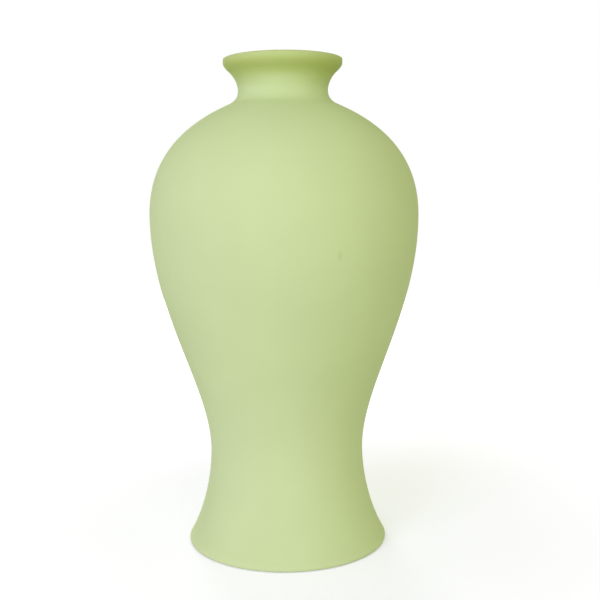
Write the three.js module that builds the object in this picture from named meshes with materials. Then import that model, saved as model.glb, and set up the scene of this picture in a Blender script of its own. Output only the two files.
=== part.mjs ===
// A ceramic vase: one turned stoneware wall with the glazes that are fired onto it.
// Millimetres, +Z up, with the origin at the centre of the foot, on the surface that it stands on.
import * as THREE from 'three';
import { mergeGeometries } from 'three/addons/utils/BufferGeometryUtils.js';

// Radii of the glazed outside
const footRadius = 62.3;
const waistRadius = 47.8;
const bellyRadius = 82.3;
const throatRadius = 27.4;

// Spread of the neck and the lip, each counted out from the stretch before it
const neckRootSpread = 6.4;
const flareSpread = 5.1;
const lipOverhang = 3.7;
const crestInset = 6.8;
const mouthInset = 3.8;

// Height of each stretch of the outside, stacked on the one before
const waistRise = 58.6;
const bellyRise = 145.6;
const shoulderRise = 67.0;
const neckRise = 8.9;
const flareRise = 10.8;
const lipRise = 7.3;
const crestRise = 1.8;
const mouthDrop = 4.6;

// Lean of the outside from upright where its stretches meet, in degrees
const footLean = 29.5;
const neckRootLean = 66;
const lipUndersideLean = 48;

// Clay
const wallThickness = 5.5;
const baseThickness = 7;
const floorCorner = 9;
const footEdgeRadius = 1.6;
const footRingWidth = 8.5;
const footRingInnerEdge = 1.2;
const recessDepth = 4.5;
const recessCorner = 2.5;

// Glaze, and how far below level its edge stands on the rounded foot edge, in degrees
const glazeThickness = 0.5;
const glazeLineAngle = 35;

// How long each curve holds its direction at its ends, as a share of its own rise
const footHold = 0.43;
const waistHoldBelow = 0.16;
const waistHoldAbove = 0.275;
const bellyHoldBelow = 0.41;
const bellyHoldAbove = 0.59;
const neckRootHoldBelow = 0.355;
const neckRootHoldAbove = 0.58;
const throatHoldBelow = 0.455;
const throatHoldAbove = 0.365;
const lipUndersideHoldBelow = 0.285;
const lipUndersideHoldAbove = 0.74;
const lipHold = 0.44;
const crestHold = 0.6;
const mouthHold = 0.5;

// Facets round the vase
const facetsRound = 36;

// Heights and radii that follow from the stack
const waistHeight = waistRise;
const bellyHeight = waistHeight + bellyRise;
const neckRootHeight = bellyHeight + shoulderRise;
const throatHeight = neckRootHeight + neckRise;
const lipUndersideHeight = throatHeight + flareRise;
const lipHeight = lipUndersideHeight + lipRise;
const totalHeight = lipHeight + crestRise;
const neckRootRadius = throatRadius + neckRootSpread;
const lipUndersideRadius = throatRadius + flareSpread;
const lipRadius = lipUndersideRadius + lipOverhang;
const crestRadius = lipRadius - crestInset;
const mouthRadius = crestRadius - mouthInset;
const throatBore = throatRadius - wallThickness - 2 * glazeThickness;
const floorHeight = recessDepth + baseThickness + glazeThickness;

// The section is drawn with x as the distance from the axis and y as the height. Every line of it runs
// with the clay on its left: up the outside, over the lip, down the inside and over the floor to the axis.
const at = (x, y) => new THREE.Vector2(x, y);

// Ways to run, each with its length. Leans are in degrees from upright.
const up = (length) => at(0, length);
const down = (length) => at(0, -length);
const inwards = (length) => at(-length, 0);
const leaning = (degrees, length) => {
  const angle = THREE.MathUtils.degToRad(degrees);
  return at(length * Math.sin(angle), length * Math.cos(angle));
};

// A station is a point of the section with the way that the surface faces there.
const station = (point, facing) => ({ point, facing });

function stationsAlong(curve, steps) {
  const stations = [];
  for (let i = 0; i <= steps; i += 1) {
    const way = curve.getTangent(i / steps);
    stations.push(station(curve.getPoint(i / steps), at(way.y, -way.x)));
  }
  return stations;
}

const straight = (from, to) => stationsAlong(new THREE.LineCurve(from, to), 1);

// A curve that sets out one way and arrives another.
const sweep = (from, setOut, to, arrive, steps) => stationsAlong(
  new THREE.CubicBezierCurve(from, from.clone().add(setOut), to.clone().sub(arrive), to),
  steps,
);

// A round edge or corner about a centre, between two angles in degrees from level.
const round = (centre, radius, fromDegrees, toDegrees, steps) => stationsAlong(
  new THREE.EllipseCurve(
    centre.x,
    centre.y,
    radius,
    radius,
    THREE.MathUtils.degToRad(fromDegrees),
    THREE.MathUtils.degToRad(toDegrees),
    toDegrees < fromDegrees,
  ),
  steps,
);

// Joins stretches that meet end to end. Each shared station is taken from the stretch that starts there.
const join = (...stretches) => stretches.flatMap(
  (stations, i) => (i < stretches.length - 1 ? stations.slice(0, -1) : stations),
);

// The same stretch at a depth under the surface.
const sink = (stations, depth) => stations.map(
  ({ point, facing }) => station(point.clone().addScaledVector(facing, -depth), facing),
);

// The centre of the rounded foot edge
const footEdgeCentre = at(footRadius - glazeThickness - footEdgeRadius, footEdgeRadius);

// The glazed outside, from the glaze line on the foot edge up to the throat
function outsideStations() {
  const edge = round(footEdgeCentre, footEdgeRadius + glazeThickness, -glazeLineAngle, footLean, 2);
  const flareFoot = edge.at(-1).point;
  const waist = at(waistRadius, waistHeight);
  const belly = at(bellyRadius, bellyHeight);
  const neckRoot = at(neckRootRadius, neckRootHeight);
  const throat = at(throatRadius, throatHeight);
  return join(
    edge,
    sweep(flareFoot, leaning(-footLean, footHold * waistRise), waist, up(waistHoldBelow * waistRise), 5),
    sweep(waist, up(waistHoldAbove * bellyRise), belly, up(bellyHoldBelow * bellyRise), 7),
    sweep(
      belly,
      up(bellyHoldAbove * shoulderRise),
      neckRoot,
      leaning(-neckRootLean, neckRootHoldBelow * shoulderRise),
      7,
    ),
    sweep(
      neckRoot,
      leaning(-neckRootLean, neckRootHoldAbove * neckRise),
      throat,
      up(throatHoldBelow * neckRise),
      3,
    ),
  );
}

// The glazed lip, from the throat outside, over the crest, to the throat inside
function lipStations() {
  const throat = at(throatRadius, throatHeight);
  const underside = at(lipUndersideRadius, lipUndersideHeight);
  const lip = at(lipRadius, lipHeight);
  const crest = at(crestRadius, totalHeight);
  const mouth = at(mouthRadius, totalHeight - mouthDrop);
  const bore = at(throatBore, throatHeight);
  const mouthToBore = mouth.y - bore.y;
  return join(
    sweep(
      throat,
      up(throatHoldAbove * flareRise),
      underside,
      leaning(lipUndersideLean, lipUndersideHoldBelow * flareRise),
      3,
    ),
    sweep(underside, leaning(lipUndersideLean, lipUndersideHoldAbove * lipRise), lip, up(lipHold * lipRise), 3),
    sweep(lip, up(crestHold * crestRise), crest, inwards(crestHold * crestRise), 3),
    sweep(crest, inwards(mouthHold * mouthInset), mouth, down(mouthHold * mouthDrop), 2),
    sweep(mouth, down(mouthHold * mouthToBore), bore, down(mouthHold * mouthToBore), 2),
  );
}

// The glazed inside: an even wall's thickness within the outside, then a rounded corner and the flat floor
function insideStations(outside) {
  const wall = sink(outside, wallThickness + 2 * glazeThickness)
    .map(({ point, facing }) => station(point, facing.clone().negate()))
    .reverse();
  const cornerTop = floorHeight + floorCorner;
  const next = wall.findIndex(({ point }) => point.y < cornerTop);
  const before = wall[next - 1];
  const after = wall[next];
  const share = (before.point.y - cornerTop) / (before.point.y - after.point.y);
  const cornerStart = before.point.clone().lerp(after.point, share);
  const facing = before.facing.clone().lerp(after.facing, share).normalize();
  const corner = at(cornerStart.x + floorCorner * facing.y / facing.x, floorHeight);
  const floorEdge = corner.clone().add(inwards(corner.distanceTo(cornerStart)));
  return join(
    [...wall.slice(0, next), station(cornerStart, facing)],
    stationsAlong(new THREE.QuadraticBezierCurve(cornerStart, corner, floorEdge), 3),
    straight(floorEdge, at(0, floorHeight)),
  );
}

// The clay under the foot: the recess from the axis out to the line where its glaze ends
function recessStations() {
  const wallRadius = footEdgeCentre.x - footRingWidth - footRingInnerEdge;
  const cornerCentre = at(wallRadius - recessCorner, recessDepth - recessCorner);
  return join(
    straight(at(0, recessDepth), at(cornerCentre.x, recessDepth)),
    round(cornerCentre, recessCorner, 90, 0, 2),
    straight(at(wallRadius, cornerCentre.y), at(wallRadius, footRingInnerEdge)),
  );
}

// The bare clay that the vase stands on: the foot ring, from the recess out to the outer glaze line
function footRingStations() {
  const innerEdgeCentre = at(footEdgeCentre.x - footRingWidth, footRingInnerEdge);
  return join(
    round(innerEdgeCentre, footRingInnerEdge, 180, 270, 2),
    straight(at(innerEdgeCentre.x, 0), at(footEdgeCentre.x, 0)),
    round(footEdgeCentre, footEdgeRadius, -90, -glazeLineAngle, 2),
  );
}

// A sheet is a line of stations turned round the axis. It faces the way that its stations face.
const sheet = (stations) => new THREE.LatheGeometry(stations.map(({ point }) => point), facetsRound);

// The same facets facing the other way, so that a glaze fits the clay under it facet to facet.
function turnedOver(geometry) {
  const corners = geometry.index.array;
  for (let i = 0; i < corners.length; i += 3) {
    [corners[i], corners[i + 1]] = [corners[i + 1], corners[i]];
  }
  geometry.computeVertexNormals();
  return geometry;
}

// A glaze is closed by its own surface, the clay under it, and its edge wherever it stops off the axis.
function glazeSheets(surface, clay) {
  const edges = [[clay.at(0), surface.at(0)], [surface.at(-1), clay.at(-1)]];
  const edgesOffAxis = edges.filter(([{ point }]) => point.x > 0);
  return [sheet(surface), turnedOver(sheet(clay)), ...edgesOffAxis.map(sheet)];
}

function piece(name, sheets, finish) {
  const geometry = mergeGeometries(sheets);
  geometry.rotateX(Math.PI / 2);
  const mesh = new THREE.Mesh(geometry, new THREE.MeshStandardMaterial(finish));
  mesh.name = name;
  return mesh;
}

const outside = outsideStations();
const linerSurface = insideStations(outside);
const linerClay = sink(linerSurface, glazeThickness);
const coatSurface = join(outside, lipStations(), linerSurface.slice(0, 1));
const coatClay = sink(coatSurface, glazeThickness);
const recessClay = recessStations();
const recessSurface = sink(recessClay, -glazeThickness);

const bareClay = { color: '#d9cfbd', roughness: 0.9, metalness: 0 };
const matteGlaze = { color: '#ccdba4', roughness: 0.6, metalness: 0 };
const clearGlaze = { color: '#e6e4d3', roughness: 0.25, metalness: 0 };

const bodySection = join(recessClay, footRingStations(), coatClay, linerClay);

const vase = new THREE.Group();
vase.add(piece('stoneware_body', [sheet(bodySection)], bareClay));
vase.add(piece('matte_glaze_coat', glazeSheets(coatSurface, coatClay), matteGlaze));
vase.add(piece('liner_glaze', glazeSheets(linerSurface, linerClay), clearGlaze));
vase.add(piece('base_glaze', glazeSheets(recessSurface, recessClay), matteGlaze));

export default vase;
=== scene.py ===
"""The looks of a ceramic baluster vase, built round its packed construction model.

The vase is turned: every surface is one section revolved about the Z axis. The section is the one that the
construction model has, repeated here in metres and worked out much finer. Four pieces come from it: the
fired clay, the matte glaze outside, the clear glaze inside and the glaze in the recess under the foot.
"""

import logging
import math
from dataclasses import dataclass, field
from enum import Enum
from typing import Iterable

import bpy
import numpy as np
from mathutils import Matrix, Vector
from numpy.typing import NDArray


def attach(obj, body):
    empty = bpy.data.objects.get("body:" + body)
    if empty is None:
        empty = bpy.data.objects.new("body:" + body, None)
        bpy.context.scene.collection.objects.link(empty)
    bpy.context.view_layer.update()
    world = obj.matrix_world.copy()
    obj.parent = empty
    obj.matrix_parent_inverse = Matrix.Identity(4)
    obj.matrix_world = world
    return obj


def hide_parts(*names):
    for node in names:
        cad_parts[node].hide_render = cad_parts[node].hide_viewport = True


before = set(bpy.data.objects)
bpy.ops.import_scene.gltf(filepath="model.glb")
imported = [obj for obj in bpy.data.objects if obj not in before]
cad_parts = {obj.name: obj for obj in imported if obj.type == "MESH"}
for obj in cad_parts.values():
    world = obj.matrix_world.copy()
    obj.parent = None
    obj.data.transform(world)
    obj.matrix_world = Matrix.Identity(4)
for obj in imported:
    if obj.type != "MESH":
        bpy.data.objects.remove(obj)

Array = NDArray[np.float64]
Indices = NDArray[np.int64]
Colour = tuple[float, float, float, float]

log = logging.getLogger("vase")

MM = 0.001
WHITE: Colour = (1.0, 1.0, 1.0, 1.0)

# What the meshes of matte glaze tell their material at each vertex
# Painted shade on the lip and down the throat under it
PAINTED_LIP_SHADE = "second_coat"
# Thin glaze on sharp edges, and painted light toward the foot
THIN_EDGE_AND_FOOT_LIGHT = "thinness"

# The span that a noise texture hardly leaves
NOISE_LOW, NOISE_HIGH = 0.3, 0.7

# The place of the colour among the results of a Mix node, which all have the same name
MIXED_COLOUR = 2


def linear(hex_colour: str) -> Colour:
    """Turns an sRGB hex colour into the linear colour that a shader takes.

    Each channel c is c / 12.92 up to 0.04045, and ((c + 0.055) / 1.055) to the power 2.4 above it.

    Args:
        hex_colour: Six hex digits after a hash sign.

    Returns:
        Red, green, blue and an alpha of 1.
    """
    digits = hex_colour.lstrip("#")
    channels = [int(digits[i:i + 2], 16) / 255 for i in (0, 2, 4)]
    red, green, blue = (c / 12.92 if c <= 0.04045 else ((c + 0.055) / 1.055) ** 2.4 for c in channels)
    return red, green, blue, 1.0


@dataclass(frozen=True)
class Stretch:
    """A line of the section, as points with the way that the surface faces at each.

    The first coordinate is the distance from the axis and the second the height, in metres. A line runs
    with the clay on its left, so the surface faces to its right.
    """

    points: Array
    facings: Array

    @classmethod
    def along(cls, points: Array, ways: Array) -> "Stretch":
        """Makes a stretch from points and the way that the line runs at each, of any length."""
        unit = ways / np.linalg.norm(ways, axis=1, keepdims=True)
        return cls(points, np.stack([unit[:, 1], -unit[:, 0]], axis=1))

    @classmethod
    def join(cls, *stretches: "Stretch") -> "Stretch":
        """Joins stretches that meet end to end.

        Args:
            *stretches: The stretches in order. A shared point is taken from the one that starts there.

        Returns:
            The whole line.
        """
        kept = [(s.points[:-1], s.facings[:-1]) for s in stretches[:-1]]
        kept.append((stretches[-1].points, stretches[-1].facings))
        return cls(np.concatenate([p for p, _ in kept]), np.concatenate([f for _, f in kept]))

    def sunk(self, depth: float) -> "Stretch":
        """Gives the same line at a depth under the surface."""
        return Stretch(self.points - self.facings * depth, self.facings)

    def turned_back(self) -> "Stretch":
        """Gives the same line run the other way, facing the other side."""
        return Stretch(self.points[::-1], -self.facings[::-1])

    def lengths(self) -> Array:
        """Gives the length of the line from its start up to each point."""
        steps = np.linalg.norm(np.diff(self.points, axis=0), axis=1)
        return np.concatenate([[0.0], np.cumsum(steps)])

    def hollowness(self, reach: float) -> Array:
        """Says how hollow the line is at each point, from -1 on a sharp edge to 1 in a tight hollow.

        It is the turn of the line per metre, times a reach, through a hyperbolic tangent. The turn is
        smoothed over that reach by a Gaussian weight, because glaze creeps about that far while it melts.

        Args:
            reach: How far the glaze creeps, in metres.

        Returns:
            One number for each point.
        """
        run = self.lengths()
        angle = np.unwrap(np.arctan2(self.facings[:, 1], self.facings[:, 0]))
        turn = -np.gradient(angle, run)
        weight = np.exp(-0.5 * ((run[:, None] - run[None, :]) / reach) ** 2) * np.gradient(run)[None, :]
        smooth = (weight * turn[None, :]).sum(axis=1) / weight.sum(axis=1)
        return np.tanh(smooth * reach)


def sweep(start: Array, set_out: Array, end: Array, arrive: Array, steps: int) -> Stretch:
    """Runs a cubic Bezier line from one point to another.

    The line is (1-t)^3 a + 3(1-t)^2 t b + 3(1-t) t^2 c + t^3 d, with b a step out of a, and c a step short
    of d.

    Args:
        start: The point a.
        set_out: The step from a to b.
        end: The point d.
        arrive: The step from c to d.
        steps: How many steps the line takes.

    Returns:
        The line, with the way that it faces from its exact slope.
    """
    t = np.linspace(0.0, 1.0, steps + 1)[:, None]
    a, b, c, d = start, start + set_out, end - arrive, end
    points = (1 - t) ** 3 * a + 3 * (1 - t) ** 2 * t * b + 3 * (1 - t) * t ** 2 * c + t ** 3 * d
    ways = (1 - t) ** 2 * (b - a) + 2 * (1 - t) * t * (c - b) + t ** 2 * (d - c)
    return Stretch.along(points, ways)


def rounded(centre: Array, radius: float, from_degrees: float, to_degrees: float, steps: int) -> Stretch:
    """Runs round a centre: the point at angle a is the centre plus the radius times (cos a, sin a).

    Args:
        centre: The centre of the round.
        radius: Its radius.
        from_degrees: The angle where it starts, from level.
        to_degrees: The angle where it ends. A smaller one runs clockwise.
        steps: How many steps it takes.

    Returns:
        The round line.
    """
    angle = np.radians(np.linspace(from_degrees, to_degrees, steps + 1))
    spoke = np.stack([np.cos(angle), np.sin(angle)], axis=1)
    ways = np.stack([-spoke[:, 1], spoke[:, 0]], axis=1) * math.copysign(1.0, to_degrees - from_degrees)
    return Stretch.along(centre + radius * spoke, ways)


def straight(start: Array, end: Array, steps: int) -> Stretch:
    """Runs straight from one point to another: the point at share t is the start plus t times the way.

    Args:
        start: The point where it starts.
        end: The point where it ends.
        steps: How many even steps it takes.

    Returns:
        The straight line.
    """
    t = np.linspace(0.0, 1.0, steps + 1)[:, None]
    way = end - start
    return Stretch.along(start + way * t, np.repeat(way[None, :], steps + 1, axis=0))


def at(x: float, y: float) -> Array:
    """Gives a point or a step of the section."""
    return np.array([x, y])


def leaning(degrees: float, length: float) -> Array:
    """Gives a step of a length that leans out from upright, or in where the angle is negative."""
    angle = math.radians(degrees)
    return at(length * math.sin(angle), length * math.cos(angle))


def smooth_step(values: Array, start: Array | float, end: Array | float) -> Array:
    """Rises from 0 at the start to 1 at the end as 3t^2 - 2t^3, where t is the share of the way."""
    t = np.clip((values - start) / (end - start), 0, 1)
    return t ** 2 * (3 - 2 * t)


@dataclass(frozen=True)
class VaseSection:
    """The section of the vase, with the sizes that the construction model has, in metres and degrees."""

    # Radii of the glazed outside
    foot_radius: float = 62.3 * MM
    waist_radius: float = 47.8 * MM
    belly_radius: float = 82.3 * MM
    throat_radius: float = 27.4 * MM

    # Spread of the neck and the lip, each counted out from the stretch before it
    neck_root_spread: float = 6.4 * MM
    flare_spread: float = 5.1 * MM
    lip_overhang: float = 3.7 * MM
    crest_inset: float = 6.8 * MM
    mouth_inset: float = 3.8 * MM

    # Height of each stretch of the outside, stacked on the one before
    waist_rise: float = 58.6 * MM
    belly_rise: float = 145.6 * MM
    shoulder_rise: float = 67.0 * MM
    neck_rise: float = 8.9 * MM
    flare_rise: float = 10.8 * MM
    lip_rise: float = 7.3 * MM
    crest_rise: float = 1.8 * MM
    mouth_drop: float = 4.6 * MM

    # Lean of the outside from upright where its stretches meet
    foot_lean: float = 29.5
    neck_root_lean: float = 66.0
    lip_underside_lean: float = 48.0

    # Clay
    wall_thickness: float = 5.5 * MM
    base_thickness: float = 7.0 * MM
    floor_corner: float = 9.0 * MM
    foot_edge_radius: float = 1.6 * MM
    foot_ring_width: float = 8.5 * MM
    foot_ring_inner_edge: float = 1.2 * MM
    recess_depth: float = 4.5 * MM
    recess_corner: float = 2.5 * MM

    # Glaze, and how far below level its edge stands on the rounded foot edge
    glaze_thickness: float = 0.5 * MM
    glaze_line_angle: float = 35.0

    # How long each curve holds its direction at its ends, as a share of its own rise
    foot_hold: float = 0.43
    waist_hold_below: float = 0.16
    waist_hold_above: float = 0.275
    belly_hold_below: float = 0.41
    belly_hold_above: float = 0.59
    neck_root_hold_below: float = 0.355
    neck_root_hold_above: float = 0.58
    throat_hold_below: float = 0.455
    throat_hold_above: float = 0.365
    lip_underside_hold_below: float = 0.285
    lip_underside_hold_above: float = 0.74
    lip_hold: float = 0.44
    crest_hold: float = 0.6
    mouth_hold: float = 0.5

    @property
    def belly_height(self) -> float:
        """Gives the height of the belly's widest line."""
        return self.waist_rise + self.belly_rise

    @property
    def throat_height(self) -> float:
        """Gives the height of the throat's narrowest line."""
        return self.belly_height + self.shoulder_rise + self.neck_rise

    @property
    def lip_height(self) -> float:
        """Gives the height of the lip's widest line."""
        return self.throat_height + self.flare_rise + self.lip_rise

    @property
    def total_height(self) -> float:
        """Gives the height of the lip's crest."""
        return self.lip_height + self.crest_rise

    @property
    def floor_height(self) -> float:
        """Gives the height of the glazed floor inside."""
        return self.recess_depth + self.base_thickness + self.glaze_thickness

    @property
    def foot_edge_centre(self) -> Array:
        """Gives the centre of the rounded foot edge."""
        return at(self.foot_radius - self.glaze_thickness - self.foot_edge_radius, self.foot_edge_radius)

    def outside(self) -> Stretch:
        """Runs up the glazed outside: foot edge, flared foot, belly, shoulder and root of the neck.

        Returns:
            The line from the glaze line on the foot edge to the throat.
        """
        edge = rounded(self.foot_edge_centre, self.foot_edge_radius + self.glaze_thickness,
                       -self.glaze_line_angle, self.foot_lean, steps=12)
        waist = at(self.waist_radius, self.waist_rise)
        belly = at(self.belly_radius, self.belly_height)
        neck_root = at(self.throat_radius + self.neck_root_spread, self.belly_height + self.shoulder_rise)
        throat = at(self.throat_radius, self.throat_height)
        return Stretch.join(
            edge,
            sweep(edge.points[-1], leaning(-self.foot_lean, self.foot_hold * self.waist_rise),
                  waist, at(0, self.waist_hold_below * self.waist_rise), steps=32),
            sweep(waist, at(0, self.waist_hold_above * self.belly_rise),
                  belly, at(0, self.belly_hold_below * self.belly_rise), steps=48),
            sweep(belly, at(0, self.belly_hold_above * self.shoulder_rise),
                  neck_root, leaning(-self.neck_root_lean, self.neck_root_hold_below * self.shoulder_rise),
                  steps=48),
            sweep(neck_root, leaning(-self.neck_root_lean, self.neck_root_hold_above * self.neck_rise),
                  throat, at(0, self.throat_hold_below * self.neck_rise), steps=16),
        )

    def lip(self) -> Stretch:
        """Runs over the glazed lip: flare, underside, rim, crest, mouth and bore.

        Returns:
            The line from the throat outside to the throat inside.
        """
        crest_radius = self.throat_radius + self.flare_spread + self.lip_overhang - self.crest_inset
        throat = at(self.throat_radius, self.throat_height)
        underside = at(self.throat_radius + self.flare_spread, self.throat_height + self.flare_rise)
        lip = at(crest_radius + self.crest_inset, self.lip_height)
        crest = at(crest_radius, self.total_height)
        mouth = at(crest_radius - self.mouth_inset, self.total_height - self.mouth_drop)
        bore = at(self.throat_radius - self.wall_thickness - 2 * self.glaze_thickness, self.throat_height)
        down = at(0, -self.mouth_hold * (mouth[1] - bore[1]))
        lean = self.lip_underside_lean
        return Stretch.join(
            sweep(throat, at(0, self.throat_hold_above * self.flare_rise),
                  underside, leaning(lean, self.lip_underside_hold_below * self.flare_rise), steps=16),
            sweep(underside, leaning(lean, self.lip_underside_hold_above * self.lip_rise),
                  lip, at(0, self.lip_hold * self.lip_rise), steps=14),
            sweep(lip, at(0, self.crest_hold * self.crest_rise),
                  crest, at(-self.crest_hold * self.crest_rise, 0), steps=14),
            sweep(crest, at(-self.mouth_hold * self.mouth_inset, 0),
                  mouth, at(0, -self.mouth_hold * self.mouth_drop), steps=12),
            sweep(mouth, down, bore, down, steps=14),
        )

    def inside(self) -> Stretch:
        """Runs down the glazed inside, an even wall within the outside, and over the floor to the axis.

        Between wall and floor the line bends as a quadratic curve about the corner where the two would
        meet. A cubic line does the same when it sets out and arrives by two thirds of the way to that
        corner.

        Returns:
            The line from the throat to the axis.
        """
        wall = self.outside().sunk(self.wall_thickness + 2 * self.glaze_thickness).turned_back()
        corner_top = self.floor_height + self.floor_corner
        below = int(np.argmax(wall.points[:, 1] < corner_top))
        upper_end, lower_end = wall.points[below - 1], wall.points[below]
        share = (upper_end[1] - corner_top) / (upper_end[1] - lower_end[1])
        start = upper_end * (1 - share) + lower_end * share
        facing = wall.facings[below - 1] * (1 - share) + wall.facings[below] * share
        corner = at(start[0] + self.floor_corner * facing[1] / facing[0], self.floor_height)
        edge = corner - at(float(np.linalg.norm(corner - start)), 0)
        upper = Stretch(np.vstack([wall.points[:below], start]), np.vstack([wall.facings[:below], facing]))
        bend = sweep(start, (corner - start) * 2 / 3, edge, (edge - corner) * 2 / 3, steps=16)
        return Stretch.join(upper, bend, straight(edge, at(0, self.floor_height), steps=12))

    def recess(self) -> Stretch:
        """Runs over the clay under the foot: the recess's roof, its corner and its wall.

        Returns:
            The line from the axis out to the line where the recess's glaze ends.
        """
        wall_radius = self.foot_edge_centre[0] - self.foot_ring_width - self.foot_ring_inner_edge
        centre = at(wall_radius - self.recess_corner, self.recess_depth - self.recess_corner)
        return Stretch.join(
            straight(at(0, self.recess_depth), at(centre[0], self.recess_depth), steps=12),
            rounded(centre, self.recess_corner, 90, 0, steps=10),
            straight(at(wall_radius, centre[1]), at(wall_radius, self.foot_ring_inner_edge), steps=2),
        )

    def foot_ring(self) -> Stretch:
        """Runs over the bare clay that the vase stands on: inner edge, flat ring and outer edge.

        Returns:
            The line from the recess out to the outer glaze line.
        """
        inner_edge = at(self.foot_edge_centre[0] - self.foot_ring_width, self.foot_ring_inner_edge)
        return Stretch.join(
            rounded(inner_edge, self.foot_ring_inner_edge, 180, 270, steps=8),
            straight(at(inner_edge[0], 0), at(self.foot_edge_centre[0], 0), steps=8),
            rounded(self.foot_edge_centre, self.foot_edge_radius, -90, -self.glaze_line_angle, steps=8),
        )


@dataclass(frozen=True)
class TurnedSurface:
    """A section line revolved about the Z axis into a closed mesh.

    The point at distance r and height z goes round as (r cos a, r sin a, z). A line that starts and ends on
    the axis gets one vertex at each pole. Any other line closes on itself, as a ring does. An entry of
    values has a row for each point of the line, with a number for each step round or one for them all.
    """

    line: Array
    around: int
    values: dict[str, Array] = field(default_factory=dict)

    @property
    def has_poles(self) -> bool:
        """Says whether both ends of the line lie on the axis, give or take a rounding error."""
        return bool(np.allclose(self.line[[0, -1], 0], 0))

    def mesh(self, name: str) -> bpy.types.Mesh:
        """Puts the surface into a mesh.

        Args:
            name: The name of the mesh.

        Returns:
            The mesh, smooth shaded, with one vertex attribute for each entry of values.
        """
        vertices = self._vertices()
        quads, fans = self._faces()
        corners = np.concatenate([quads.ravel(), fans.ravel()]).astype(np.int32)
        sizes = np.concatenate([np.full(len(quads), 4), np.full(len(fans), 3)])
        starts = np.concatenate([[0], np.cumsum(sizes)[:-1]]).astype(np.int32)
        mesh = bpy.data.meshes.new(name)
        mesh.vertices.add(len(vertices))
        mesh.vertices.foreach_set("co", vertices.astype(np.float32).ravel())
        mesh.loops.add(len(corners))
        mesh.loops.foreach_set("vertex_index", corners)
        mesh.polygons.add(len(sizes))
        mesh.polygons.foreach_set("loop_start", starts)
        for key, value in self.values.items():
            at_vertices = self._at_vertices(value).astype(np.float32)
            mesh.attributes.new(key, "FLOAT", "POINT").data.foreach_set("value", at_vertices)
        mesh.update(calc_edges=True)
        mesh.shade_smooth()
        mesh.validate()
        return mesh

    def _vertices(self) -> Array:
        """Works out the vertices.

        Returns:
            Their places, ring by ring, with the two poles last.
        """
        angle = np.arange(self.around) * 2 * math.pi / self.around
        rings = self.line[1:-1] if self.has_poles else self.line
        grid = np.stack([
            rings[:, :1] * np.cos(angle),
            rings[:, :1] * np.sin(angle),
            np.repeat(rings[:, 1:], self.around, axis=1),
        ], axis=2).reshape(-1, 3)
        if not self.has_poles:
            return grid
        return np.vstack([grid, [(0.0, 0.0, height) for height in self.line[[0, -1], 1]]])

    def _faces(self) -> tuple[Indices, Indices]:
        """Works out the faces, each as a row of the numbers of its vertices.

        Returns:
            The quads between the rings, and the triangles at the poles.
        """
        rings = len(self.line) - 2 if self.has_poles else len(self.line)
        index = np.arange(rings * self.around).reshape(rings, self.around)
        lower = index[:-1] if self.has_poles else index
        upper = index[1:] if self.has_poles else np.roll(index, -1, axis=0)
        quads = np.stack([lower, np.roll(lower, -1, 1), np.roll(upper, -1, 1), upper], axis=2)
        if not self.has_poles:
            return quads.reshape(-1, 4), np.zeros((0, 3), dtype=np.int64)
        pole = np.full(self.around, index.size)
        fans = np.concatenate([
            np.stack([pole, np.roll(index[0], -1), index[0]], axis=1),
            np.stack([pole + 1, index[-1], np.roll(index[-1], -1)], axis=1),
        ])
        return quads.reshape(-1, 4), fans

    def _at_vertices(self, value: Array) -> Array:
        """Spreads an entry of values over the vertices.

        Args:
            value: The entry.

        Returns:
            One number for each vertex.
        """
        rows = np.broadcast_to(value, (len(value), self.around))
        if self.has_poles:
            return np.concatenate([rows[1:-1].ravel(), rows[[0, -1], 0]])
        return rows.ravel()


class NodeTree:
    """Adds nodes to the tree of one material or world."""

    def __init__(self, tree: bpy.types.NodeTree, output: str) -> None:
        """Empties the tree and gives it its output.

        Args:
            tree: The tree to fill.
            output: The type of its output node.
        """
        self.tree = tree
        self.tree.nodes.clear()
        self.output = self.tree.nodes.new(output)

    def add(self, kind: str, settings: dict[str, object] | None = None, **inputs: object) -> bpy.types.Node:
        """Adds a node with its settings, values and links.

        Args:
            kind: The node's type.
            settings: Properties of the node by name.
            **inputs: Sockets by their identifier, with _ for a space. Each gets a value, or an output
                socket that is linked to it.

        Returns:
            The node.
        """
        node = self.tree.nodes.new(kind)
        for key, value in (settings or {}).items():
            setattr(node, key, value)
        sockets = {socket.identifier.replace(" ", "_"): socket for socket in node.inputs}
        for key, value in inputs.items():
            if isinstance(value, bpy.types.NodeSocket):
                self.tree.links.new(value, sockets[key])
            else:
                sockets[key].default_value = value
        return node

    def looked_at(self) -> bpy.types.NodeSocket:
        """Tells looking from lighting.

        Returns:
            1 where a ray comes from the camera, a mirror or a clear piece, and 0 where it only lights.
        """
        paths = self.add("ShaderNodeLightPath").outputs
        seen = self.add("ShaderNodeMath", {"operation": "MAXIMUM"}, Value=paths["Is Camera Ray"],
                        Value_001=paths["Is Glossy Ray"]).outputs[0]
        return self.add("ShaderNodeMath", {"operation": "MAXIMUM"}, Value=seen,
                        Value_001=paths["Is Transmission Ray"]).outputs[0]

    def finish(self, last: bpy.types.Node) -> None:
        """Links the last node's first output to the surface."""
        self.tree.links.new(last.outputs[0], self.output.inputs["Surface"])


def new_material(name: str) -> tuple[bpy.types.Material, NodeTree]:
    """Makes a material with nothing but its output.

    Args:
        name: The material's name.

    Returns:
        The material and the tree to fill.
    """
    material = bpy.data.materials.new(name)
    material.use_nodes = True
    return material, NodeTree(material.node_tree, "ShaderNodeOutputMaterial")


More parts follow.
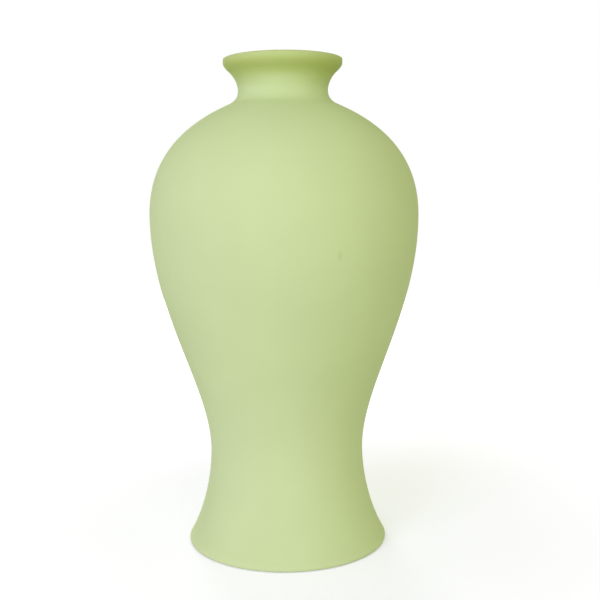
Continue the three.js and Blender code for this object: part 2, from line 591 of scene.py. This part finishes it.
@dataclass(frozen=True)
class MatteGlaze:
    """Pale green matte glaze, sprayed and fired, with painted shade on the lip and under it.

    To the eye it is an even, powdery pastel with no highlight, because tiny crystals scatter the light. A
    deeper, yellower green on the lip that fades out under it is painted shade, where the lip's rim and
    underside face down and the throat lies under its overhang. The colour drifts very slightly over a few
    centimetres, and pales a little on sharp edges, where it lies thin, and toward the foot as painted light
    on its upturned flare. One soft darker spot sits on the belly.
    """

    colour: str = "#cbdba2"
    # Painted shade on the lip's rim and underside and down the throat under it
    lip_shade_colour: str = "#b4c470"
    # Paler where the glaze lies thin on sharp edges, and painted light toward the foot
    pale_edge_and_lit_foot_colour: str = "#d7e5b2"
    roughness: float = 0.95
    refraction: float = 1.4
    drift_size: float = 60 * MM
    drift_octaves: float = 3.0
    drift: float = 0.05
    # The real crystals are too fine to show, so their grain is drawn coarser
    grain_size: float = 0.8 * MM
    grain_octaves: float = 2.0
    grain_height: float = 0.015 * MM
    grain_strength: float = 0.5
    mark_place: tuple[float, float, float] = (30.1 * MM, -75.3 * MM, 184.5 * MM)
    mark_width: float = 2.4 * MM
    mark_height: float = 4.4 * MM
    mark_depth: float = 0.08

    def material(self) -> bpy.types.Material:
        """Builds the glaze, whose meshes say where painted shade lies on the lip, where the glaze is thin
        and where painted light lies toward the foot.

        Returns:
            The material.
        """
        material, nodes = new_material("matte_glaze_sprayed_and_fired")
        where = nodes.add("ShaderNodeTexCoord").outputs["Object"]
        # Painted shade on and under the lip, as a share from 0 to 1
        coat = nodes.add("ShaderNodeAttribute", {"attribute_name": PAINTED_LIP_SHADE}).outputs["Fac"]
        # Paler where the glaze is thin on sharp edges, and painted light toward the foot
        thinness = nodes.add("ShaderNodeAttribute", {"attribute_name": THIN_EDGE_AND_FOOT_LIGHT}).outputs["Fac"]
        with_pale_edges_and_foot_light = nodes.add("ShaderNodeMix", {"data_type": "RGBA"}, Factor_Float=thinness,
                         A_Color=linear(self.colour),
                         B_Color=linear(self.pale_edge_and_lit_foot_colour)).outputs[MIXED_COLOUR]
        # Painted shade on the lip over that
        with_lip_shade = nodes.add("ShaderNodeMix", {"data_type": "RGBA"}, Factor_Float=coat, A_Color=with_pale_edges_and_foot_light,
                          B_Color=linear(self.lip_shade_colour)).outputs[MIXED_COLOUR]
        cloud = nodes.add("ShaderNodeTexNoise", Vector=where, Scale=1 / self.drift_size,
                          Detail=self.drift_octaves).outputs["Fac"]
        tone = nodes.add("ShaderNodeMapRange", Value=cloud, From_Min=NOISE_LOW, From_Max=NOISE_HIGH,
                         To_Min=1 - self.drift / 2, To_Max=1 + self.drift / 2).outputs["Result"]
        from_mark = nodes.add("ShaderNodeVectorMath", {"operation": "SUBTRACT"}, Vector=where,
                              Vector_001=self.mark_place).outputs["Vector"]
        spread = (1 / self.mark_width, 1 / self.mark_width, 1 / self.mark_height)
        shares = nodes.add("ShaderNodeVectorMath", {"operation": "MULTIPLY"}, Vector=from_mark,
                           Vector_001=spread).outputs["Vector"]
        off_mark = nodes.add("ShaderNodeVectorMath", {"operation": "LENGTH"},
                             Vector=shares).outputs["Value"]
        mark = nodes.add("ShaderNodeMapRange", {"interpolation_type": "SMOOTHSTEP"}, Value=off_mark,
                         From_Min=0.0, From_Max=1.0,
                         To_Min=1 - self.mark_depth, To_Max=1.0).outputs["Result"]
        level = nodes.add("ShaderNodeMath", {"operation": "MULTIPLY"}, Value=tone,
                          Value_001=mark).outputs["Value"]
        body = nodes.add("ShaderNodeVectorMath", {"operation": "SCALE"}, Vector=with_lip_shade,
                         Scale=level).outputs["Vector"]
        grain = nodes.add("ShaderNodeTexNoise", Vector=where, Scale=1 / self.grain_size,
                          Detail=self.grain_octaves).outputs["Fac"]
        bump = nodes.add("ShaderNodeBump", Height=grain, Strength=self.grain_strength,
                         Distance=self.grain_height).outputs["Normal"]
        nodes.finish(nodes.add("ShaderNodeBsdfPrincipled", Base_Color=body, Roughness=self.roughness,
                               IOR=self.refraction, Normal=bump))
        return material


@dataclass(frozen=True)
class ClearGlaze:
    """Clear gloss glaze over pale clay, poured in and out again.

    To the eye it is a wet-looking cream with sharp reflections, a little uneven where it ran.
    """

    colour: str = "#e3dfca"
    roughness: float = 0.14
    refraction: float = 1.52
    ripple_size: float = 14 * MM
    ripple_octaves: float = 2.0
    ripple_height: float = 0.05 * MM
    ripple_strength: float = 0.6

    def material(self) -> bpy.types.Material:
        """Builds the glaze.

        Returns:
            The material.
        """
        material, nodes = new_material("clear_glaze_poured_over_clay")
        where = nodes.add("ShaderNodeTexCoord").outputs["Object"]
        ripple = nodes.add("ShaderNodeTexNoise", Vector=where, Scale=1 / self.ripple_size,
                           Detail=self.ripple_octaves).outputs["Fac"]
        bump = nodes.add("ShaderNodeBump", Height=ripple, Strength=self.ripple_strength,
                         Distance=self.ripple_height).outputs["Normal"]
        nodes.finish(nodes.add("ShaderNodeBsdfPrincipled", Base_Color=linear(self.colour),
                               Roughness=self.roughness, IOR=self.refraction, Normal=bump))
        return material


@dataclass(frozen=True)
class BareStoneware:
    """Stoneware, cast, fired and left unglazed.

    To the eye it is a dry, sandy buff with fine pits and a few iron specks. A speck is whole within its
    core and gone at its edge, both as shares of the spacing.
    """

    colour: str = "#d8cdb8"
    speck_colour: str = "#8d7a63"
    roughness: float = 0.92
    refraction: float = 1.5
    grain_size: float = 0.7 * MM
    grain_octaves: float = 3.0
    grain_height: float = 0.08 * MM
    grain_strength: float = 0.7
    speck_spacing: float = 2.2 * MM
    speck_core: float = 0.08
    speck_edge: float = 0.16
    speck_depth: float = 0.6

    def material(self) -> bpy.types.Material:
        """Builds the clay.

        Returns:
            The material.
        """
        material, nodes = new_material("stoneware_cast_and_unglazed")
        where = nodes.add("ShaderNodeTexCoord").outputs["Object"]
        off_speck = nodes.add("ShaderNodeTexVoronoi", Vector=where,
                              Scale=1 / self.speck_spacing).outputs["Distance"]
        speck = nodes.add("ShaderNodeMapRange", Value=off_speck,
                          From_Min=self.speck_core, From_Max=self.speck_edge,
                          To_Min=self.speck_depth, To_Max=0.0).outputs["Result"]
        body = nodes.add("ShaderNodeMix", {"data_type": "RGBA"}, Factor_Float=speck,
                         A_Color=linear(self.colour),
                         B_Color=linear(self.speck_colour)).outputs[MIXED_COLOUR]
        grain = nodes.add("ShaderNodeTexNoise", Vector=where, Scale=1 / self.grain_size,
                          Detail=self.grain_octaves).outputs["Fac"]
        bump = nodes.add("ShaderNodeBump", Height=grain, Strength=self.grain_strength,
                         Distance=self.grain_height).outputs["Normal"]
        nodes.finish(nodes.add("ShaderNodeBsdfPrincipled", Base_Color=body, Roughness=self.roughness,
                               IOR=self.refraction, Normal=bump))
        return material


class Slot(Enum):
    """The material slots of the record."""

    CLAY = "bare_clay"
    MATTE = "matte_green_glaze"
    CLEAR = "clear_liner_glaze"


@dataclass(frozen=True)
class ThinGlazeAndFootLight:
    """Where the matte glaze lies thin on sharp edges, and painted light toward the foot."""

    creep: float = 2.5 * MM
    # Painted light toward the foot, and the heights where it is full and gone
    foot_thinness: float = 0.42
    foot_light_gone_above: float = 130.0 * MM
    foot_light_full_below: float = 60.0 * MM

    def thinness(self, face: Stretch) -> Array:
        """Says how pale the glaze is made, from 0 to 1.

        It follows how sharply the face bends out, where the glaze lies thin, and grows toward the foot as
        painted light on its upturned flare.

        Args:
            face: The coat's own face.

        Returns:
            One number for each point of the face.
        """
        # Painted light on the foot's upturned flare, full low down and gone higher up
        lit_foot = 1 - smooth_step(face.points[:, 1], self.foot_light_full_below, self.foot_light_gone_above)
        bends_out = -face.hollowness(self.creep)
        return np.clip(np.maximum(bends_out, self.foot_thinness * lit_foot), 0, 1)


@dataclass(frozen=True)
class PaintedLipShade:
    """Painted shade on the lip's rim and underside, which face down, and on the throat under its overhang.

    It ends on a soft line under the lip, which hangs lower in a few broad tongues, where the shade is
    lighter;
    one tongue is at the front. A share of it reaches on down the throat, more of it between the tongues. It
    is lighter toward the crest, which faces up.
    """

    ends: float = 285.0 * MM
    fades_over: float = 5.5 * MM
    tongues: int = 3
    tongue_length: float = 0.7 * MM
    tongue_loss: float = 0.12
    # Painted shade reaching down the throat under the lip
    run: float = 7.7 * MM
    throat_shade_share: float = 0.51
    throat_shade_waver: float = 0.47
    # Less painted shade toward the crest, which faces up
    crest_reach: float = 5.8 * MM
    crest_loss: float = 0.38

    def thickness(self, height: Array, top: float, around: int) -> Array:
        """Says how deep the painted shade lies, from 0 to 1.

        The end of the shade under the lip, the end of its reach down the throat and the loss toward the
        crest are each a smooth step in height, and the tongues are a cosine round the vase, with one of
        them at the front.

        Args:
            height: The height of each point of a line.
            top: The height of the crest.
            around: How many steps go round the vase.

        Returns:
            A row for each point, with a number for each step round.
        """
        from_front = np.arange(around) * 2 * math.pi / around + math.pi / 2
        tongue = np.cos(self.tongues * from_front)
        end = self.ends - self.tongue_length * tongue
        above = height[:, None]
        # Painted shade under the lip and down the throat, with less of it toward the crest
        lip_shade_step = smooth_step(above, end, end + self.fades_over)
        run = smooth_step(above, end - self.run, end + self.fades_over / 2)
        crest = smooth_step(above, top - self.crest_reach, top)
        share = self.throat_shade_share * (1 - self.throat_shade_waver * tongue)
        kept = (1 - crest * self.crest_loss) * (1 - self.tongue_loss * (1 + tongue) / 2)
        return (lip_shade_step * (1 - share) + run * share) * kept


@dataclass(frozen=True)
class Vase:
    """The vase as four fired layers, each standing for its node of the construction model."""

    section: VaseSection = field(default_factory=VaseSection)
    # Thin glaze on sharp edges, painted light toward the foot, and painted shade on the lip
    thin_glaze_and_foot_light: ThinGlazeAndFootLight = field(default_factory=ThinGlazeAndFootLight)
    second_coat: PaintedLipShade = field(default_factory=PaintedLipShade)
    steps_round: int = 144
    outside_steps_round: int = 192

    def build(self) -> list[bpy.types.Object]:
        """Builds the four pieces and dresses them.

        Returns:
            The pieces.
        """
        matte = MatteGlaze().material()
        return [
            self.clay_body(BareStoneware().material()),
            self.outside_glaze(matte),
            self.inside_glaze(ClearGlaze().material()),
            self.base_glaze(matte),
        ]

    def clay_body(self, finish: bpy.types.Material) -> bpy.types.Object:
        """Builds the fired clay: recess, foot ring, wall, lip, hollow and floor, under all the glazes.

        Args:
            finish: The material of bare clay.

        Returns:
            The piece.
        """
        glaze = self.section.glaze_thickness
        line = Stretch.join(self.section.recess(), self.section.foot_ring(),
                            self._outer_face().sunk(glaze), self.section.inside().sunk(glaze))
        surface = TurnedSurface(line.points, self.steps_round)
        return self._piece("fired_clay_body", surface, finish, "stoneware_body", Slot.CLAY)

    def outside_glaze(self, finish: bpy.types.Material) -> bpy.types.Object:
        """Builds the matte glaze from the foot edge over the lip to the throat inside.

        Args:
            finish: The material of matte glaze.

        Returns:
            The piece.
        """
        face = self._outer_face()
        clay = face.sunk(self.section.glaze_thickness)
        surface = self._matte_layer(face, clay, self.outside_steps_round)
        return self._piece("matte_glaze_outside", surface, finish, "matte_glaze_coat", Slot.MATTE)

    def inside_glaze(self, finish: bpy.types.Material) -> bpy.types.Object:
        """Builds the clear glaze from the throat down over the floor.

        Args:
            finish: The material of clear glaze.

        Returns:
            The piece.
        """
        face = self.section.inside()
        clay = face.sunk(self.section.glaze_thickness)
        surface = TurnedSurface(np.concatenate([clay.points[::-1], face.points]), self.steps_round)
        return self._piece("clear_glaze_inside", surface, finish, "liner_glaze", Slot.CLEAR)

    def base_glaze(self, finish: bpy.types.Material) -> bpy.types.Object:
        """Builds the matte glaze in the recess under the foot.

        Args:
            finish: The material of matte glaze.

        Returns:
            The piece.
        """
        clay = self.section.recess()
        face = clay.sunk(-self.section.glaze_thickness)
        surface = self._matte_layer(face, clay, self.steps_round)
        return self._piece("matte_glaze_in_recess", surface, finish, "base_glaze", Slot.MATTE)

    def _outer_face(self) -> Stretch:
        """Runs along the face of the matte glaze outside.

        Returns:
            The line from the foot edge over the lip to the first point of the inside.
        """
        inside = self.section.inside()
        first = Stretch(inside.points[:1], inside.facings[:1])
        return Stretch.join(self.section.outside(), self.section.lip(), first)

    def _matte_layer(self, face: Stretch, clay: Stretch, around: int) -> TurnedSurface:
        """Closes a layer of matte glaze and says where painted shade lies on the lip, where the glaze is
        thin and where painted light lies toward the foot.

        Args:
            face: The outer face of the layer.
            clay: The clay that it lies on, point for point.
            around: How many steps go round the vase.

        Returns:
            The layer's surface.
        """
        # Painted shade on the lip, then thin glaze and painted light toward the foot
        coat = self.second_coat.thickness(face.points[:, 1], self.section.total_height, around)
        thinness = self.thin_glaze_and_foot_light.thinness(face)[:, None]
        line = np.concatenate([face.points, clay.points[::-1]])
        values = {
            PAINTED_LIP_SHADE: np.concatenate([coat, coat[::-1]]),
            THIN_EDGE_AND_FOOT_LIGHT: np.concatenate([thinness, thinness[::-1]]),
        }
        return TurnedSurface(line, around, values)

    @staticmethod
    def _piece(name: str, surface: TurnedSurface, finish: bpy.types.Material, node: str,
               slot: Slot) -> bpy.types.Object:
        """Makes the object of a surface and ties it to its body and node.

        Args:
            name: The name of the piece.
            surface: Its surface.
            finish: Its material.
            node: The node of the construction model that it stands for.
            slot: The material slot of that node. Not used.

        Returns:
            The piece.
        """
        piece = bpy.data.objects.new(name, surface.mesh(name))
        bpy.context.scene.collection.objects.link(piece)
        piece.data.materials.append(finish)
        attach(piece, "root")
        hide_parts(node)
        return piece


@dataclass(frozen=True)
class Lamp:
    """A soft square lamp that faces the vase.

    Bearing is counted from the camera's side, to the right, and elevation from level, both in degrees.
    Level is how bright a white surface that faces the lamp becomes, where 1 is white.
    """

    name: str
    bearing: float
    elevation: float
    level: float
    colour: str
    side: float = 0.8
    distance: float = 1.3

    @property
    def back(self) -> Vector:
        """Gives the way from the vase to the lamp."""
        bearing, elevation = math.radians(self.bearing), math.radians(self.elevation)
        return Vector((math.sin(bearing) * math.cos(elevation), -math.cos(bearing) * math.cos(elevation),
                       math.sin(elevation)))

    def on_floor(self, target: Vector) -> Array:
        """Says how bright it makes a white floor right under its target.

        The level falls with the square of the distance, and with the cosines of the slants at both ends.

        Args:
            target: The point that the lamp is aimed at, above the origin.

        Returns:
            Red, green and blue, where 1 is white.
        """
        place = target + self.back * self.distance
        away = place.length
        share = (self.distance / away) ** 2 * (place.z / away) * (place.dot(self.back) / away)
        return self.level * share * np.array(linear(self.colour)[:3])

    def build(self, target: Vector) -> None:
        """Builds the lamp, aimed at a point.

        A lamp of power P at a distance d lights a white surface that faces it to P / (pi d)^2.

        Args:
            target: The point that it lights.
        """
        light = bpy.data.lights.new(self.name, "AREA")
        light.shape = "SQUARE"
        light.size = self.side
        light.energy = self.level * (math.pi * self.distance) ** 2
        light.color = linear(self.colour)[:3]
        lamp = bpy.data.objects.new(self.name, light)
        lamp.location = target + self.back * self.distance
        lamp.rotation_euler = self.back.to_track_quat("Z", "Y").to_euler()
        lamp.visible_camera = False
        bpy.context.scene.collection.objects.link(lamp)


@dataclass(frozen=True)
class Studio:
    """A pale floor, soft lamps, a white surround and the camera of the photograph."""

    lamps: tuple[Lamp, ...] = (
        Lamp("key_lamp", bearing=-35.0, elevation=20.0, level=0.52, colour="#d2ccff"),
        Lamp("fill_lamp", bearing=15.0, elevation=20.0, level=0.188, colour="#fdffda"),
        Lamp("back_lamp", bearing=-168.0, elevation=8.0, level=0.45, colour="#f4f2ff", side=0.5),
    )
    lamp_target: tuple[float, float, float] = (0.0, 0.0, 0.15)
    ambient_level: float = 0.526
    ambient_colour: str = "#fdffda"

    floor_colour: str = "#e7e7e7"
    floor_reach: float = 12.0
    lamplight_full_to: float = 0.1
    lamplight_gone_at: float = 0.45

    # Place in metres, turns in degrees, lens and sensor in millimetres
    camera_distance: float = 0.57891
    camera_height: float = 0.22134
    camera_pitch: float = 6.8758
    camera_yaw: float = 0.9119
    camera_roll: float = -0.5266
    camera_lens: float = 55.984
    camera_sensor: float = 36.0
    camera_sees_from: float = 0.01

    def build(self) -> None:
        """Builds the whole stage."""
        for lamp in self.lamps:
            lamp.build(Vector(self.lamp_target))
        self.surround()
        self.floor()
        self.camera()
        bpy.context.scene.view_settings.view_transform = "Standard"

    def surround(self) -> None:
        """Lights from all round at an even level, and shows white behind the vase."""
        world = bpy.data.worlds.new("white_surround")
        world.use_nodes = True
        nodes = NodeTree(world.node_tree, "ShaderNodeOutputWorld")
        ambient = nodes.add("ShaderNodeBackground", Color=linear(self.ambient_colour),
                            Strength=self.ambient_level).outputs[0]
        white = nodes.add("ShaderNodeBackground", Color=WHITE, Strength=1.0).outputs[0]
        nodes.finish(nodes.add("ShaderNodeMixShader", Fac=nodes.looked_at(), Shader=ambient,
                               Shader_001=white))
        bpy.context.scene.world = world

    def floor(self) -> None:
        """Lays the pale floor, which keeps the vase's shadow and runs out into the white behind."""
        reach = self.floor_reach
        corners = [(-reach, -reach, 0.0), (reach, -reach, 0.0), (reach, reach, 0.0), (-reach, reach, 0.0)]
        mesh = bpy.data.meshes.new("pale_floor")
        mesh.from_pydata(corners, [], [(0, 1, 2, 3)])
        mesh.materials.append(self.paper())
        floor = bpy.data.objects.new("pale_floor", mesh)
        bpy.context.scene.collection.objects.link(floor)

    def paper(self) -> bpy.types.Material:
        """Builds the floor's pale matte paper.

        To the camera it glows by what it lacks to white when it is lit: near the vase by lamps and
        surround, and far away by the surround alone. So it shows white, but for the vase's shadow.

        Returns:
            The material.
        """
        material, nodes = new_material("pale_matte_paper")
        far = self.ambient_level * np.array(linear(self.ambient_colour)[:3])
        near = far + sum(lamp.on_floor(Vector(self.lamp_target)) for lamp in self.lamps)
        where = nodes.add("ShaderNodeTexCoord").outputs["Object"]
        away = nodes.add("ShaderNodeVectorMath", {"operation": "LENGTH"}, Vector=where).outputs["Value"]
        share = nodes.add("ShaderNodeMapRange", {"interpolation_type": "SMOOTHSTEP"}, Value=away,
                          From_Min=self.lamplight_full_to, From_Max=self.lamplight_gone_at,
                          To_Min=0.0, To_Max=1.0).outputs["Result"]
        lack = nodes.add("ShaderNodeMix", {"data_type": "RGBA"}, Factor_Float=share,
                         A_Color=self._lack(near), B_Color=self._lack(far)).outputs[MIXED_COLOUR]
        plain = nodes.add("ShaderNodeBsdfDiffuse", Color=linear(self.floor_colour)).outputs[0]
        glow = nodes.add("ShaderNodeEmission", Color=lack, Strength=1.0).outputs[0]
        glowing = nodes.add("ShaderNodeAddShader", Shader=plain, Shader_001=glow).outputs[0]
        nodes.finish(nodes.add("ShaderNodeMixShader", Fac=nodes.looked_at(), Shader=plain,
                               Shader_001=glowing))
        return material

    def _lack(self, light: Array) -> Colour:
        """Gives the colour that the floor's paper lacks to white in a light."""
        lack = 1 - light * np.array(linear(self.floor_colour)[:3])
        return (*lack.tolist(), 1.0)

    def camera(self) -> None:
        """Sets the camera where the photograph was taken from."""
        data = bpy.data.cameras.new("photo_camera")
        data.lens = self.camera_lens
        data.sensor_width = self.camera_sensor
        data.clip_start = self.camera_sees_from
        camera = bpy.data.objects.new("photo_camera", data)
        pitch, yaw, roll = (math.radians(a) for a in (self.camera_pitch, self.camera_yaw, self.camera_roll))
        ahead = Vector((math.sin(yaw) * math.cos(pitch), math.cos(yaw) * math.cos(pitch), -math.sin(pitch)))
        level = Vector((math.cos(yaw), -math.sin(yaw), 0.0))
        above = level.cross(ahead)
        right = level * math.cos(roll) + above * math.sin(roll)
        up = above * math.cos(roll) - level * math.sin(roll)
        turn = Matrix((right, up, -ahead)).transposed().to_4x4()
        camera.matrix_world = Matrix.Translation((0.0, -self.camera_distance, self.camera_height)) @ turn
        bpy.context.scene.collection.objects.link(camera)
        bpy.context.scene.camera = camera


def main() -> None:
    """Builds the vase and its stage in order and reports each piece."""
    logging.basicConfig(level=logging.INFO, format="%(name)s: %(message)s")
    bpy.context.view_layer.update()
    for piece in Vase().build():
        log.info("%s: %d faces", piece.name, len(piece.data.polygons))
    Studio().build()
    bpy.context.view_layer.update()


if __name__ == "__main__":
    main()
